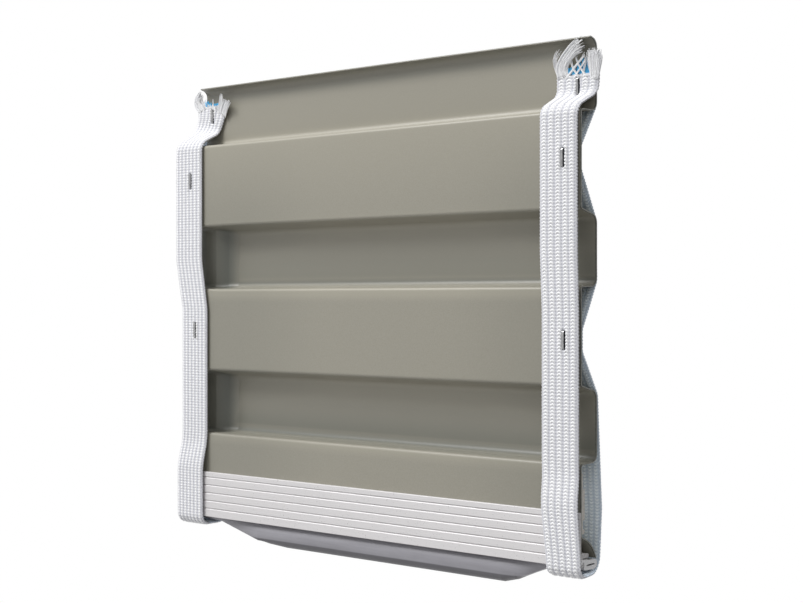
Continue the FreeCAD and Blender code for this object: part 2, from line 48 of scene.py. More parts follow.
# Tape routes in millimetres, as in the part's source: Y, Z and bend radius of the middle line
TAPE_ROUTES = {
    "left": [
        (3.92, -10.5, 0), (3.92, -27.2, 6.0), (-9.58, -34.1, 6.2), (-9.58, -211.34, 45.6),
        (-11.58, -223.88, 45.6), (-11.58, -259.44, 5.0), (8.52, -258.94, 8.6),
        (10.78, -228.44, 22.8), (3.63, -172.25, 5.29), (-6.42, -150.54, 6.0),
        (-6.42, -139.74, 6.0), (3.63, -117.9, 5.29), (3.63, -87.42, 5.29),
        (-6.42, -61.64, 6.0), (-6.42, -50.84, 6.0), (7.08, -33.05, 5.88), (7.08, -10.5, 0),
    ],
    "right": [
        (3.92, -17.0, 0), (3.92, -27.2, 6.0), (-9.58, -34.1, 6.2), (-9.58, -211.34, 45.6),
        (-11.58, -223.88, 45.6), (-11.58, -259.44, 5.0), (8.52, -258.94, 8.6),
        (10.78, -228.44, 22.8), (7.08, -173.01, 5.88), (-6.42, -151.74, 6.0),
        (-6.42, -140.94, 6.0), (7.08, -117.65, 5.88), (7.08, -88.19, 5.88),
        (-6.42, -63.94, 6.0), (-6.42, -53.14, 6.0), (7.08, -32.85, 5.88), (7.08, -17.0, 0),
    ],
}
BEND_STEP = 0.1

# X of a straight tape's two edges, its thickness, and Y where it turns under the rail
TAPE_SPANS = {"left": (-144.8, -123.0), "right": (116.5, 138.3)}
TAPE_THICKNESS = 2.0
UNDER_FRONT, UNDER_BACK = -9.58, 7.65

# Sideways shift of a tape's two edges at each height. The back length follows the front one, apart
# from the top of the right tape and the right edge of both beside the rail, which hang straight
FIRST_PAN, LAST_PAN, RAIL_TOP, LOOP_TOP = -39.0, -205.64, -228.44, -252.44
SHIFT_HEIGHTS = (
    -12.0, -20.0, -25.0, -30.0, FIRST_PAN, -103.29, -132.5, LAST_PAN, RAIL_TOP, LOOP_TOP,
)
EDGE_SHIFTS = {
    "left": (
        (0.4, 0.3, -0.9, -2.6, -4.6, -4.5, 1.2, 1.2, -1.0, -0.9),
        (3.3, 0.8, -1.6, -3.2, -3.7, -3.7, 1.0, 1.0, -0.9, -0.8),
    ),
    "right": (
        (-0.2, 0.0, -0.1, -0.6, -0.9, -0.9, 0.2, 0.2, 1.2, 4.1),
        (2.9, 2.9, 2.4, 0.4, -0.9, -0.9, -0.2, -0.2, 0.5, 2.2),
    ),
}
SMOOTHED_STEPS = 31

# The left tape's outer edge stands higher where it leaves the top trough
DIVE_LIFT, DIVE_HEIGHT, DIVE_REACH = 3.4, -24.5, 7.0

# Weave: rows along the tape, a row's height over a rope at equal steps, and how many steps apart
# the threads over and between the ropes rise
ROW_PITCH = 1.63
ROW_PROFILES = {
    "left": (0.20, 0.60, 1.0, 0.98, 0.82, 0.50, 0.24),
    "right": (0.04, 0.58, 1.0, 1.0, 0.82, 0.42, 0.10),
}
ROW_STEPS = 7
ROW_LAG = 3
STEP = ROW_PITCH / ROW_STEPS

# Kinds of rope, the raised columns of the weave: how far its rows run on beside its middle, and
# its height from the middle out
ROPES = {
    "fine": (0.55, ((0.0, 1.0), (0.24, 0.96), (0.5, 0.45), (0.66, 0.02), (1.0, 0.0))),
    "broad": (0.55, ((0.0, 1.0), (0.32, 0.97), (0.66, 0.52), (0.80, 0.06), (1.0, 0.0))),
    "plain": (0.85, ((0.2, 0.97), (0.55, 0.45), (1.0, 0.0))),
    "flat": (0.0, ((0.0, 0.5),)),
}
FRONT_WEAVES = {
    "left": ((1.5, 4.3, 7.4, 10.4, 13.4, 16.5, 19.6), "fine"),
    "right": ((2.85, 6.85, 10.95, 15.05, 18.8), "broad"),
}
BACK_COLUMNS = (2.4, 5.8, 9.2, 12.6, 16.0, 19.4)

# Relief of the weave, and the shares by which it differs
GROUND_DEPTH, ROPE_RISE, GAP_RISE, LEAST_RISE = 0.28, 0.42, 0.18, 0.04
GAP_FLOOR = 0.4
UNEVEN_SHARE = 0.14
SLOT_DEPTH, SWELL_RISE, SWELL_SHARE = 1.2, 0.18, 0.7
# Painted shade of the weave: its least value and its rise with the yarns' height
SHADE_FLOOR, SHADE_RISE = 0.13, 2.1
WEAVE_SEED = 11

# Edges of the tape: their notches, the right edge's threads as way inwards and height, and the left's
EDGE_NOTCH = 0.20
EDGE_THREADS = ((0.0, 0.0), (0.18, 0.3), (0.5, 0.4))
LEFT_THREAD, LEFT_THREAD_SHARE, LEFT_GAP_SHARE = 0.22, 0.3, 0.6

STAPLES = ("top", "middle", "lower")

# Slot of a staple, beside the wire's middle and shorter than the wire, and the swell on either side
SLOT_SIDE, SLOT_SHORT = 0.6, 0.75
SLOT_WIDE, SLOT_TALL = 1.0, 0.7
SWELL_AWAY, SWELL_WIDE, SWELL_TALL = 2.0, 0.9, 1.6

# Height in millimetres and strength of painted highlights on folds and of painted shade in hollows
HIGHLIT_FOLDS = (
    (-29.0, 0.0), (-32.5, 0.42), (-35.8, 0.50), (-39.0, 0.30), (-45.0, 0.24), (-75.0, 0.0),
    (-81.0, 0.0), (-84.0, 0.38), (-88.5, 0.32), (-94.0, 0.15), (-98.0, 0.0), (-118.9, 0.0),
    (-121.4, 0.60), (-124.5, 0.45), (-128.0, 0.0), (-167.0, 0.0), (-171.5, 0.42), (-176.0, 0.32),
    (-182.0, 0.22), (-186.0, 0.0), (-205.0, 0.0), (-207.2, 0.45), (-209.5, 0.20), (-212.0, 0.0),
)
# Painted shade in the hollows and creases of the sheet
SHADED_FOLDS = (
    (0.0, 0.08), (-3.0, 0.20), (-6.5, 0.42), (-9.0, 0.15), (-12.0, 0.0), (-92.0, 0.0),
    (-98.0, 0.12), (-106.0, 0.32), (-113.5, 0.38), (-115.4, 0.25), (-117.2, 0.70), (-119.3, 0.0),
    (-178.0, 0.0), (-184.0, 0.12), (-190.0, 0.30), (-197.0, 0.52), (-199.3, 0.55), (-200.9, 0.28),
    (-203.6, 0.85), (-205.4, 0.0),
)
LOWEST_FOLD = -270.0

# Masks in millimetres: the dark cut edges, with painted shade beside them, and painted shade in the
# pressed trough ends and towards the sheet's ends
SHEET_CUT_AND_SHADE_BAND, SAWN_BAND, TOP_EDGE = 0.8, 0.05, 0.05
PRESSED_MIDDLE, PRESSED_INNER, PRESSED_OUTER = -123.5, 4.0, 16.0
HOLLOW_FRONT, HOLLOW_BACK = -6.0, 4.0
PRESSED_TOP, PRESSED_FULL = -70.0, -85.0
ENDS_MIDDLE, ENDS_INNER, ENDS_OUTER = 15.0, 35.0, 115.0
ENDS_TOP, ENDS_FULL = -30.0, -80.0
SEAL_PRESSED, SEAL_SHADE_TOP, SEAL_SHADE_FULL = 8.5, -263.0, -263.6

# Linear colours
PAINT_DARK, PAINT_LIGHT = (0.270, 0.256, 0.211), (0.303, 0.289, 0.242)
# The second colour is a painted highlight for the pan-top folds and fold lines
PAINT_CLOUDED, PAINT_HIGHLIGHT = (0.252, 0.241, 0.202), (0.392, 0.368, 0.298)
# Colour of the painted shade in the sheet's hollows, creases and ends
PAINTED_SHADE = (0.090, 0.098, 0.085)
# Dark cut edges, which also paint shade on the sheet beside the tapes
CUT_AND_SHADE_DARK, CUT_AND_SHADE_LIGHT = (0.10, 0.10, 0.085), (0.17, 0.17, 0.15)
RUBBER_DARK, RUBBER_LIGHT = (0.225, 0.220, 0.242), (0.280, 0.275, 0.302)
RUBBER_DUST, RUBBER_SHADE = (0.33, 0.325, 0.345), (0.06, 0.058, 0.065)
# Light pressed seal ends, which also paint light into the shade of their hollows
RUBBER_PRESSED_LIT = (0.60, 0.60, 0.61)
# Zinc wire tone, darkened partly as painted shade
WIRE_DARK, WIRE_LIGHT = (0.26, 0.26, 0.265), (0.44, 0.44, 0.44)
# Painted bluish skylight for the inner face of the back lengths
INSIDE_SKYLIGHT_DARK, INSIDE_SKYLIGHT_LIGHT = (0.50, 0.61, 0.74), (0.86, 0.94, 1.0)
RAIL_COLOUR, STRIP_COLOUR = (0.655, 0.64, 0.645), (0.74, 0.71, 0.66)
# Yarns: the first of each pair is the painted shade of hollows and shaded strands
TAPE_WHITES = (0.50, 0.505, 0.555), (0.91, 0.91, 0.915)
YARN_WHITES = (0.66, 0.67, 0.70), (0.93, 0.93, 0.935)
CORE_BLUES = (0.05, 0.46, 0.84), (0.10, 0.60, 0.96)
PALE_FLOOR, PURE_WHITE = (0.40, 0.40, 0.40), (1.0, 1.0, 1.0)

# Loose yarns: corners and tip of a strand, points along it, and how widely single strands differ in
# tone, which also paints shade between them
YARN_SIDES, YARN_TIP, YARN_POINTS = 5, 0.6, 13
YARN_TONES = (0.25, 0.9)
LEAST_BESIDE = 0.2
SPOT_SPREAD, DEPTH_SPREAD = 0.08, 0.18
WAVES, WAVE, CORE_WAVE, DEPTH_WAVES, DEPTH_SHARE = (4, 9), 0.16, 0.05, 7, 0.6
LENGTHS, RADII = (0.78, 1.02), (0.8, 1.2)
TONE_SEED, FRAY_SEED = 5, 7
CORE_DEPTHS = (3.7, 3.3, 2.9)
CORE_WIDTH, CORE_STRANDS, CORE_RADIUS = 3.1, 12, 0.26
BACK_BUNDLES, BACK_STRANDS, BACK_RADIUS, BACK_WIDTH = 9, 15, 0.19, 2.4

# Bundles of loose strands: X, Y and Z along the curve, width at foot and tip, number of strands,
# their radius and, where it isn't the usual one, their wave
LOOSE_ENDS = {
    "right": [
        ([(118.6, 3.4, -18.5), (117.6, 3.0, -15.1), (116.6, 2.4, -11.2), (117.2, 1.8, -7.9),
          (120.3, 1.0, -4.6)], 1.8, 2.6, 18, 0.18),
        ([(120.4, 3.2, -18.2), (119.6, 2.6, -14.0), (121.6, 1.8, -10.3), (125.5, 0.9, -6.8),
          (129.5, 0.2, -3.9), (134.3, -0.4, -2.0)], 5.4, 5.4, 120, 0.21),
        ([(122.4, 3.2, -18.2), (122.6, 2.6, -13.4), (125.6, 1.6, -9.4), (130.2, 0.6, -6.7),
          (134.9, 0.2, -5.5)], 2.4, 2.2, 24, 0.2),
        ([(121.7, 3.2, -18.9), (125.1, 2.8, -16.2), (128.9, 2.4, -12.6), (132.9, 1.8, -9.3),
          (134.6, 1.3, -7.2)], 0.9, 1.0, 6, 0.2),
        ([(126.4, 3.2, -19.0), (129.6, 2.8, -15.8), (132.8, 2.4, -12.2), (135.2, 1.8, -8.8)],
         0.9, 1.0, 6, 0.2),
        ([(130.3, 3.1, -19.0), (127.1, 2.6, -14.2), (126.1, 2.1, -10.1), (126.6, 1.5, -7.6)],
         1.0, 1.1, 7, 0.2),
        ([(134.6, 3.1, -18.8), (131.4, 2.6, -14.8), (129.4, 2.1, -10.8), (129.2, 1.5, -7.4)],
         0.9, 1.0, 6, 0.2),
        ([(131.4, 3.2, -19.1), (133.2, 2.8, -14.1), (134.4, 2.4, -10.5), (132.4, 1.8, -6.6)],
         0.8, 0.8, 5, 0.2),
        ([(137.2, 3.2, -19.4), (136.0, 2.7, -14.6), (135.6, 2.2, -10.0), (135.6, 1.5, -6.4)],
         0.8, 1.0, 6, 0.18),
        ([(138.2, 3.3, -20.5), (138.9, 2.6, -14.8), (139.6, 1.9, -9.8), (139.8, 1.1, -5.6)],
         3.4, 7.6, 170, 0.15, 0.08),
        ([(139.6, 3.3, -20.6), (141.2, 2.6, -15.4), (142.4, 1.9, -11.0), (142.8, 1.2, -7.6)],
         2.0, 3.2, 60, 0.15, 0.08),
    ],
    "left": [
        ([(-141.6, 3.3, -12.6), (-144.2, 2.7, -9.6), (-144.6, 2.1, -6.2), (-142.0, 1.6, -3.2),
          (-139.6, 1.2, -1.3)], 4.2, 1.4, 46, 0.2),
        ([(-139.6, 3.3, -12.4), (-142.0, 2.4, -9.4), (-142.6, 1.9, -6.4), (-140.6, 1.6, -3.6)],
         4.4, 2.2, 34, 0.2),
        ([(-139.4, 3.2, -12.0), (-141.0, 2.6, -8.6), (-141.2, 2.2, -5.2), (-139.9, 1.8, -2.4)],
         3.8, 3.0, 44, 0.22),
        ([(-137.4, 3.3, -12.0), (-138.6, 2.6, -9.8), (-139.6, 2.2, -7.4)], 3.2, 1.6, 20, 0.2),
        ([(-134.6, 3.4, -12.0), (-134.4, 3.1, -10.2), (-134.2, 2.9, -8.7)], 3.6, 3.2, 16, 0.2),
        ([(-130.6, 3.4, -12.4), (-130.8, 3.1, -10.8), (-131.0, 2.9, -9.2)], 3.0, 2.2, 13, 0.2),
        ([(-130.6, 3.2, -11.2), (-130.4, 2.8, -8.2), (-130.2, 2.6, -5.7)], 0.9, 0.4, 4, 0.16),
        ([(-127.0, 3.3, -13.6), (-127.2, 3.0, -11.6), (-127.0, 2.8, -10.0)], 3.2, 3.0, 16, 0.2),
        ([(-125.6, 3.2, -15.0), (-124.0, 2.6, -11.0), (-122.6, 1.8, -7.2), (-121.3, 1.2, -4.1)],
         3.4, 2.4, 34, 0.18),
        ([(-123.6, 3.2, -16.0), (-121.0, 2.4, -12.2), (-118.6, 1.6, -9.4), (-117.6, 1.2, -7.6)],
         4.0, 4.0, 38, 0.18),
        ([(-121.8, 3.2, -17.2), (-119.2, 2.4, -13.2), (-116.4, 1.4, -10.8), (-113.4, 0.7, -9.0)],
         3.4, 2.8, 36, 0.18),
    ],
}

# Bundles of coloured strands: X, and height of foot and tip
CORE_ENDS = {
    "right": [(123.9, -18.6, -12.6), (127.0, -19.0, -12.4), (130.0, -18.4, -9.4), (133.4, -18.6, -8.0),
              (136.6, -18.6, -7.8)],
    "left": [(-136.0, -11.6, -6.9), (-133.4, -11.6, -7.7), (-129.6, -11.6, -8.6), (-126.8, -11.6, -8.6)],
}

# Stage in metres, with powers in watts and the camera's values worked out from the photo
FLOOR_RADIUS, FLOOR_HEIGHT, FLOOR_SIDES, FLOOR_GLOW = 0.7, -0.45, 96, 0.94
SKY_SIDE, SKY_START, SKY_END = (-0.42, -0.52, 0.745), -0.6, 0.95
SKY_LOW, SKY_HIGH = 0.10, 0.76
LAMPS = {"key": ((-0.70, -0.92, 1.22), 27.5), "back": ((0.50, 1.15, 0.75), 14.0)}
LAMP_SIZE, LAMP_AIM = 0.8, (0.0, 0.0, -0.13)
CAMERA_PLACE, CAMERA_TURN = (0.5183, -0.5942, -0.127), 40.0
LENS, SENSOR_WIDTH, PHOTO_WIDTH, SHIFT_PIXELS, CLIP_START = 65.17, 36.0, 803, -1.5, 0.01


def new_material(name):
    """new material, its node tree and its main shader"""
    material = bpy.data.materials.new(name)
    material.use_nodes = True
    tree = material.node_tree
    return material, tree, tree.nodes["Principled BSDF"]


def set_inputs(tree, node, inputs):
    """gives each named or numbered socket a link, a colour or a number"""
    for key, value in inputs.items():
        socket = node.inputs[key]
        if isinstance(value, bpy.types.NodeSocket):
            tree.links.new(value, socket)
        elif socket.type == "RGBA":
            socket.default_value = (*value, 1.0)
        else:
            socket.default_value = value


def add(tree, kind, inputs=None, **settings):
    """new node with its inputs and settings"""
    node = tree.nodes.new(kind)
    for key, value in settings.items():
        setattr(node, key, value)
    set_inputs(tree, node, inputs or {})
    return node


def maths(tree, operation, *values):
    """result of one arithmetic step"""
    return add(tree, "ShaderNodeMath", dict(enumerate(values)), operation=operation).outputs[0]


def place(tree, scale=(1.0, 1.0, 1.0)):
    """object coordinates in metres, scaled along each axis"""
    coordinates = add(tree, "ShaderNodeTexCoord").outputs["Object"]
    return add(tree, "ShaderNodeMapping", {"Vector": coordinates, "Scale": scale}).outputs["Vector"]


def place_along(tree, axis):
    """one object coordinate in millimetres"""
    split = add(tree, "ShaderNodeSeparateXYZ", {"Vector": place(tree)})
    return maths(tree, "DIVIDE", split.outputs[axis], MM)


def noise(tree, vector, scale, detail):
    """noise between 0 and 1, with its scale per metre"""
    inputs = {"Vector": vector, "Scale": scale, "Detail": detail}
    return add(tree, "ShaderNodeTexNoise", inputs).outputs["Fac"]


def ramp(tree, source, stops):
    """colour ramp through stops of (place, colour)"""
    node = add(tree, "ShaderNodeValToRGB", {"Fac": source})
    elements = node.color_ramp.elements
    while len(elements) < len(stops):
        elements.new(0.5)
    for element, (spot, colour) in zip(elements, stops):
        element.position = spot
        element.color = (*colour, 1.0)
    return node.outputs["Color"]


def mix(tree, factor, first, second):
    """mixed colour"""
    inputs = {0: factor, 6: first, 7: second}
    return add(tree, "ShaderNodeMix", inputs, data_type="RGBA").outputs[2]


def remap(tree, source, start, end, low=0.0, high=1.0, kind="LINEAR"):
    """low where the source is at start, high where it is at end"""
    inputs = {"Value": source, "From Min": start, "From Max": end, "To Min": low, "To Max": high}
    return add(tree, "ShaderNodeMapRange", inputs, interpolation_type=kind).outputs["Result"]


def spread(tree, source, low, high):
    """a value between 0 and 1 spread between low and high"""
    return remap(tree, source, 0.0, 1.0, low, high)


def bump(tree, height, distance, strength=1.0):
    """normal of a bumpy surface"""
    inputs = {"Height": height, "Distance": distance, "Strength": strength}
    return add(tree, "ShaderNodeBump", inputs).outputs["Normal"]


def distance_from(tree, value, middle):
    """distance of a value from a middle, either way"""
    return maths(tree, "ABSOLUTE", maths(tree, "SUBTRACT", value, middle))


def box_of(node):
    """lowest and highest corner of a node in millimetres"""
    return [np.array(corner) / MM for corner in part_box(node)]


def end_mask(tree, node, band):
    """1 within a band at a node's left and right ends, 0 elsewhere"""
    limit = box_of(node)[1][0] - band
    return maths(tree, "GREATER_THAN", maths(tree, "ABSOLUTE", place_along(tree, "X")), limit)


def bands(tree, height, levels):
    """strength at each height, from a list of heights and strengths"""
    part = remap(tree, height, LOWEST_FOLD, 0.0)
    stops = [(1.0 - level / LOWEST_FOLD, (strength,) * 3) for level, strength in levels]
    return ramp(tree, part, sorted(stops))


def painted_shade_mask(tree, height):
    """painted shade in the two pressed trough ends, towards the sheet's ends and in its folds"""
    x, y = (place_along(tree, axis) for axis in "XY")
    pressed = distance_from(tree, x, PRESSED_MIDDLE)
    pressed = remap(tree, pressed, PRESSED_OUTER, PRESSED_INNER, high=0.80, kind="SMOOTHSTEP")
    pressed = maths(tree, "MULTIPLY", pressed, remap(tree, height, PRESSED_TOP, PRESSED_FULL))
    pressed = maths(tree, "MULTIPLY", pressed, remap(tree, y, HOLLOW_FRONT, HOLLOW_BACK))
    ends = distance_from(tree, x, ENDS_MIDDLE)
    ends = remap(tree, ends, ENDS_INNER, ENDS_OUTER, high=0.20, kind="SMOOTHSTEP")
    below = remap(tree, height, ENDS_TOP, ENDS_FULL)
    shade_share = maths(tree, "MULTIPLY_ADD", ends, below, pressed)
    return maths(tree, "MAXIMUM", shade_share, bands(tree, height, SHADED_FOLDS))


def coated_steel():
    """satin paint on sheet steel, with painted highlights and painted shade in its folds, painted shade
    towards its ends and dark cut edges
    """
    material, tree, shader = new_material("coated_steel")
    flat = place(tree)
    height = place_along(tree, "Z")
    grain = noise(tree, flat, 1900.0, 2.0)
    cloud = noise(tree, flat, 14.0, 3.0)
    paint = ramp(tree, grain, [(0.30, PAINT_DARK), (0.70, PAINT_LIGHT)])
    paint = mix(tree, spread(tree, cloud, 0.0, 0.25), paint, PAINT_CLOUDED)
    # painted highlight along the pan-top folds and fold lines
    paint = mix(tree, bands(tree, height, HIGHLIT_FOLDS), paint, PAINT_HIGHLIGHT)
    # painted shade in the hollows, creases, pressed trough ends and towards the ends
    paint = mix(tree, painted_shade_mask(tree, height), paint, PAINTED_SHADE)
    # dark cut edges, with painted shade on the last 0.8 mm of the sheet's ends
    cut = ramp(tree, noise(tree, flat, 900.0, 3.0), [(0.3, CUT_AND_SHADE_DARK), (0.7, CUT_AND_SHADE_LIGHT)])
    top = maths(tree, "GREATER_THAN", height, TOP_EDGE)
    edge = maths(tree, "MAXIMUM", end_mask(tree, "curtain_sheet", SHEET_CUT_AND_SHADE_BAND), top)
    peel = maths(tree, "MULTIPLY_ADD", grain, 0.4, noise(tree, flat, 700.0, 1.0))
    set_inputs(tree, shader, {
        "Base Color": mix(tree, edge, paint, cut),
        "Roughness": spread(tree, cloud, 0.36, 0.44),
        "Specular IOR Level": 0.45,
        "Normal": bump(tree, peel, 0.02 * MM),
    })
    return material


def extruded_metal(name, node, colour, rough):
    """satin extruded aluminium with fine draw lines, small specks and sawn ends darkened as painted
    shade
    """
    material, tree, shader = new_material(name)
    lines = noise(tree, place(tree, (3.0, 900.0, 900.0)), 1.0, 4.0)
    specks = noise(tree, place(tree), 1500.0, 2.0)
    cloud = noise(tree, place(tree), 22.0, 2.0)
    saw_marks = noise(tree, place(tree, (1.0, 2500.0, 300.0)), 1.0, 3.0)
    clouded, dark, end_shade_dark = (tuple(c * share for c in colour) for share in (0.8, 0.55, 0.3))
    spotted = ramp(tree, specks, [(0.27, dark), (0.31, colour)])
    toned = mix(tree, spread(tree, cloud, 0.0, 0.10), spotted, clouded)
    # painted shade on the sawn ends
    sawn_end_shade = ramp(tree, saw_marks, [(0.3, end_shade_dark), (0.7, dark)])
    set_inputs(tree, shader, {
        "Base Color": mix(tree, end_mask(tree, node, SAWN_BAND), toned, sawn_end_shade),
        "Metallic": 0.4,
        "Roughness": spread(tree, lines, rough - 0.05, rough + 0.07),
        "Normal": bump(tree, lines, 0.02 * MM),
    })
    return material


def rubber():
    """dark seal rubber, with faint marks along it, painted shade on its lower lobe and light pressed
    ends that also paint light into their hollows
    """
    material, tree, shader = new_material("seal_rubber")
    marks = noise(tree, place(tree, (30.0, 500.0, 500.0)), 1.0, 4.0)
    dust = noise(tree, place(tree), 160.0, 4.0)
    colour = ramp(tree, marks, [(0.3, RUBBER_DARK), (0.7, RUBBER_LIGHT)])
    colour = mix(tree, spread(tree, dust, 0.0, 0.25), colour, RUBBER_DUST)
    # painted shade on the lower lobe
    lobe_shade = remap(tree, place_along(tree, "Z"), SEAL_SHADE_TOP, SEAL_SHADE_FULL, high=0.80)
    colour = mix(tree, lobe_shade, colour, RUBBER_SHADE)
    set_inputs(tree, shader, {
        # light pressed ends, also painted light into the shade of their hollows
        "Base Color": mix(tree, end_mask(tree, "weather_seal", SEAL_PRESSED), colour, RUBBER_PRESSED_LIT),
        "Roughness": spread(tree, dust, 0.36, 0.52),
        "Normal": bump(tree, marks, 0.04 * MM),
    })
    return material


def fibre(name, low, high):
    """yarn, with painted shade in the hollows of the weave and a painted skylight tint inside the back
    length
    """
    material, tree, shader = new_material(name)
    weave_shade, inside = (
        add(tree, "ShaderNodeAttribute", attribute_name=attribute).outputs["Fac"]
        for attribute in ("weave", "inside")
    )
    strands = noise(tree, place(tree), 4200.0, 2.0)
    # painted shade: near black in staple slots, grey in the hollows, the yarn's colour on raised yarns
    dark = tuple(0.12 * value for value in low)
    colour = ramp(tree, weave_shade, [(0.0, dark), (0.17, low), (0.75, high), (1.0, high)])
    # painted bluish skylight on the inner face of the back length
    skylight_tint = ramp(tree, weave_shade, [(0.15, INSIDE_SKYLIGHT_DARK), (0.7, INSIDE_SKYLIGHT_LIGHT)])
    colour = mix(tree, inside, colour, skylight_tint)
    set_inputs(tree, shader, {
        "Base Color": mix(tree, spread(tree, strands, 0.0, 0.14), colour, low),
        "Roughness": 0.62,
        "Sheen Weight": 0.3,
        "Sheen Roughness": 0.5,
        "Normal": bump(tree, strands, 0.06 * MM, 0.6),
    })
    return material


def galvanised_shaded_wire():
    """zinc staple wire, darkened partly as painted shade"""
    material, tree, shader = new_material("staple_wire")
    scuffs = noise(tree, place(tree, (1.0, 1.0, 0.3)), 1400.0, 3.0)
    set_inputs(tree, shader, {
        "Base Color": ramp(tree, scuffs, [(0.3, WIRE_DARK), (0.7, WIRE_LIGHT)]),
        "Metallic": 1.0,
        "Roughness": spread(tree, scuffs, 0.18, 0.38),
    })
    return material


def dress(node, material):
    """gives a carried-over node one material"""
    for slot in nodes[node].material_slots:
        slot.material = material


def unit(vectors):
    """vectors of length 1 along the given ones"""
    return vectors / np.linalg.norm(vectors, axis=-1, keepdims=True)


def rounded(before, here, after, radius):
    """points of the bend that rounds one corner of a route"""
    back, ahead = unit(before - here), unit(after - here)
    half = math.acos(np.clip(back @ ahead, -1, 1)) / 2
    start = here + back * radius / math.tan(half)
    centre = here + unit(back + ahead) * radius / math.sin(half)
    first = start - centre
    turn = math.pi - 2 * half
    side = np.sign(back[0] * ahead[1] - back[1] * ahead[0])
    points = []
    for part in np.linspace(0, 1, max(3, int(radius * turn / BEND_STEP))):
        angle = -side * turn * part
        c, s = math.cos(angle), math.sin(angle)
        points.append(centre + np.array([c * first[0] - s * first[1], s * first[0] + c * first[1]]))
    return points


def route_line(corners):
    """points of a route with rounded corners, spaced evenly, and how far along each one is"""
    places = [np.array(corner[:2], float) for corner in corners]
    line = [places[0]]
    for before, here, after, corner in zip(places, places[1:], places[2:], corners[1:]):
        line += rounded(before, here, after, corner[2])
    line = np.array([*line, places[-1]])
    walked = np.concatenate([[0], np.cumsum(np.linalg.norm(np.diff(line, axis=0), axis=1))])
    even = np.linspace(0, walked[-1], int(walked[-1] / STEP) + 1)
    return np.stack([np.interp(even, walked, values) for values in line.T], 1), even


def shift_at(heights, shifts):
    """sideways shift at each height"""
    return np.interp(heights, SHIFT_HEIGHTS[::-1], shifts[::-1])


def tape_edges(side, line):
    """left and right edge of the tape at each point of its line"""
    y, z = line.T
    heights = np.array(SHIFT_HEIGHTS)
    across = np.clip((y - UNDER_FRONT) / (UNDER_BACK - UNDER_FRONT), 0, 1)
    in_front = np.arange(len(line)) < np.argmin(z)
    window = np.hanning(SMOOTHED_STEPS)
    edges = []
    for number, straight in enumerate(TAPE_SPANS[side]):
        shifts = np.array(EDGE_SHIFTS[side][number])
        back_shifts = shifts.copy()
        if number == 1:
            back_shifts[heights <= RAIL_TOP] = shifts[heights == LAST_PAN]
        if side == "right":
            back_shifts[heights > FIRST_PAN] = shifts[heights == FIRST_PAN]
        shift = np.where(in_front, shift_at(z, shifts), shift_at(z, back_shifts))
        turning = shifts[-1] + (back_shifts[-1] - shifts[-1]) * across
        shift = np.where(z < LOOP_TOP, turning, shift)
        padded = np.pad(shift, SMOOTHED_STEPS // 2, mode="edge")
        edges.append(straight + np.convolve(padded, window / window.sum(), mode="valid"))
    return edges


def column_places(columns, width, half_rope):
    """places across the tape, each with its height as a share and its way from the rope's middle"""
    middles = np.array(columns)
    steps = np.diff(middles)
    reach = np.concatenate([[steps[0]], (steps[:-1] + steps[1:]) / 2, [steps[-1]]]) / 2
    near = [0.0, LEFT_THREAD, (middles[0] - reach[0]) * LEFT_GAP_SHARE]
    places = [(x, LEFT_THREAD_SHARE if x > 0 else 0.0, 0.0) for x in near]
    places += [(width - inward, share, 0.0) for inward, share in EDGE_THREADS]
    left = [(-part, share) for part, share in half_rope if part > 0]
    right = [(part, share) for part, share in half_rope if part < 1]
    for middle, half in zip(middles, reach):
        for part, share in left + right:
            places.append((middle + part * half, share, abs(part) * half))
    places.append((middles[-1] + reach[-1], 0.0, reach[-1]))
    x, share, way = np.array(sorted(row for row in places if 0 <= row[0] <= width)).T
    return x / width, share, way


def staple_nearness(side, x, z):
    """1 in a staple's slot, falling off around it, and the same for the swell beside it"""
    slot = np.zeros_like(x)
    swell = np.zeros_like(x)
    for which in STAPLES:
        low, high = box_of(f"{side}_{which}_staple")
        middle, half = (low + high) / 2, (high - low) / 2
        beyond = np.maximum(np.abs(z - middle[2]) - half[2] + SLOT_SHORT, 0)
        away = np.abs(x - middle[0] - SLOT_SIDE)
        beside = (away - SWELL_AWAY) / SWELL_WIDE
        slot = np.maximum(slot, np.exp(-((away / SLOT_WIDE) ** 6) - (beyond / SLOT_TALL) ** 2))
        swell = np.maximum(swell, np.exp(-(beside**2) - (beyond / SWELL_TALL) ** 2))
    return slot, swell


def weave_rise(side, share, swell):
    """height of the yarns over the tape's ground, at each step along it and place across it"""
    count = len(swell)
    steps = np.arange(count)
    profile = np.array(ROW_PROFILES[side])
    over = profile[steps % ROW_STEPS][:, None]
    between = profile[(steps + ROW_LAG) % ROW_STEPS][:, None]
    rng = np.random.default_rng(WEAVE_SEED)
    uneven = 1 + UNEVEN_SHARE * rng.standard_normal((count // ROW_STEPS + 2, len(share)))
    uneven = np.repeat(uneven, ROW_STEPS, axis=0)[:count]
    ropes = ROPE_RISE * share * over * uneven * (1 + SWELL_SHARE * swell)
    gaps = GAP_RISE * (1 - share) * np.clip(between - GAP_FLOOR, 0, 1)
    return ropes + gaps + LEAST_RISE * share


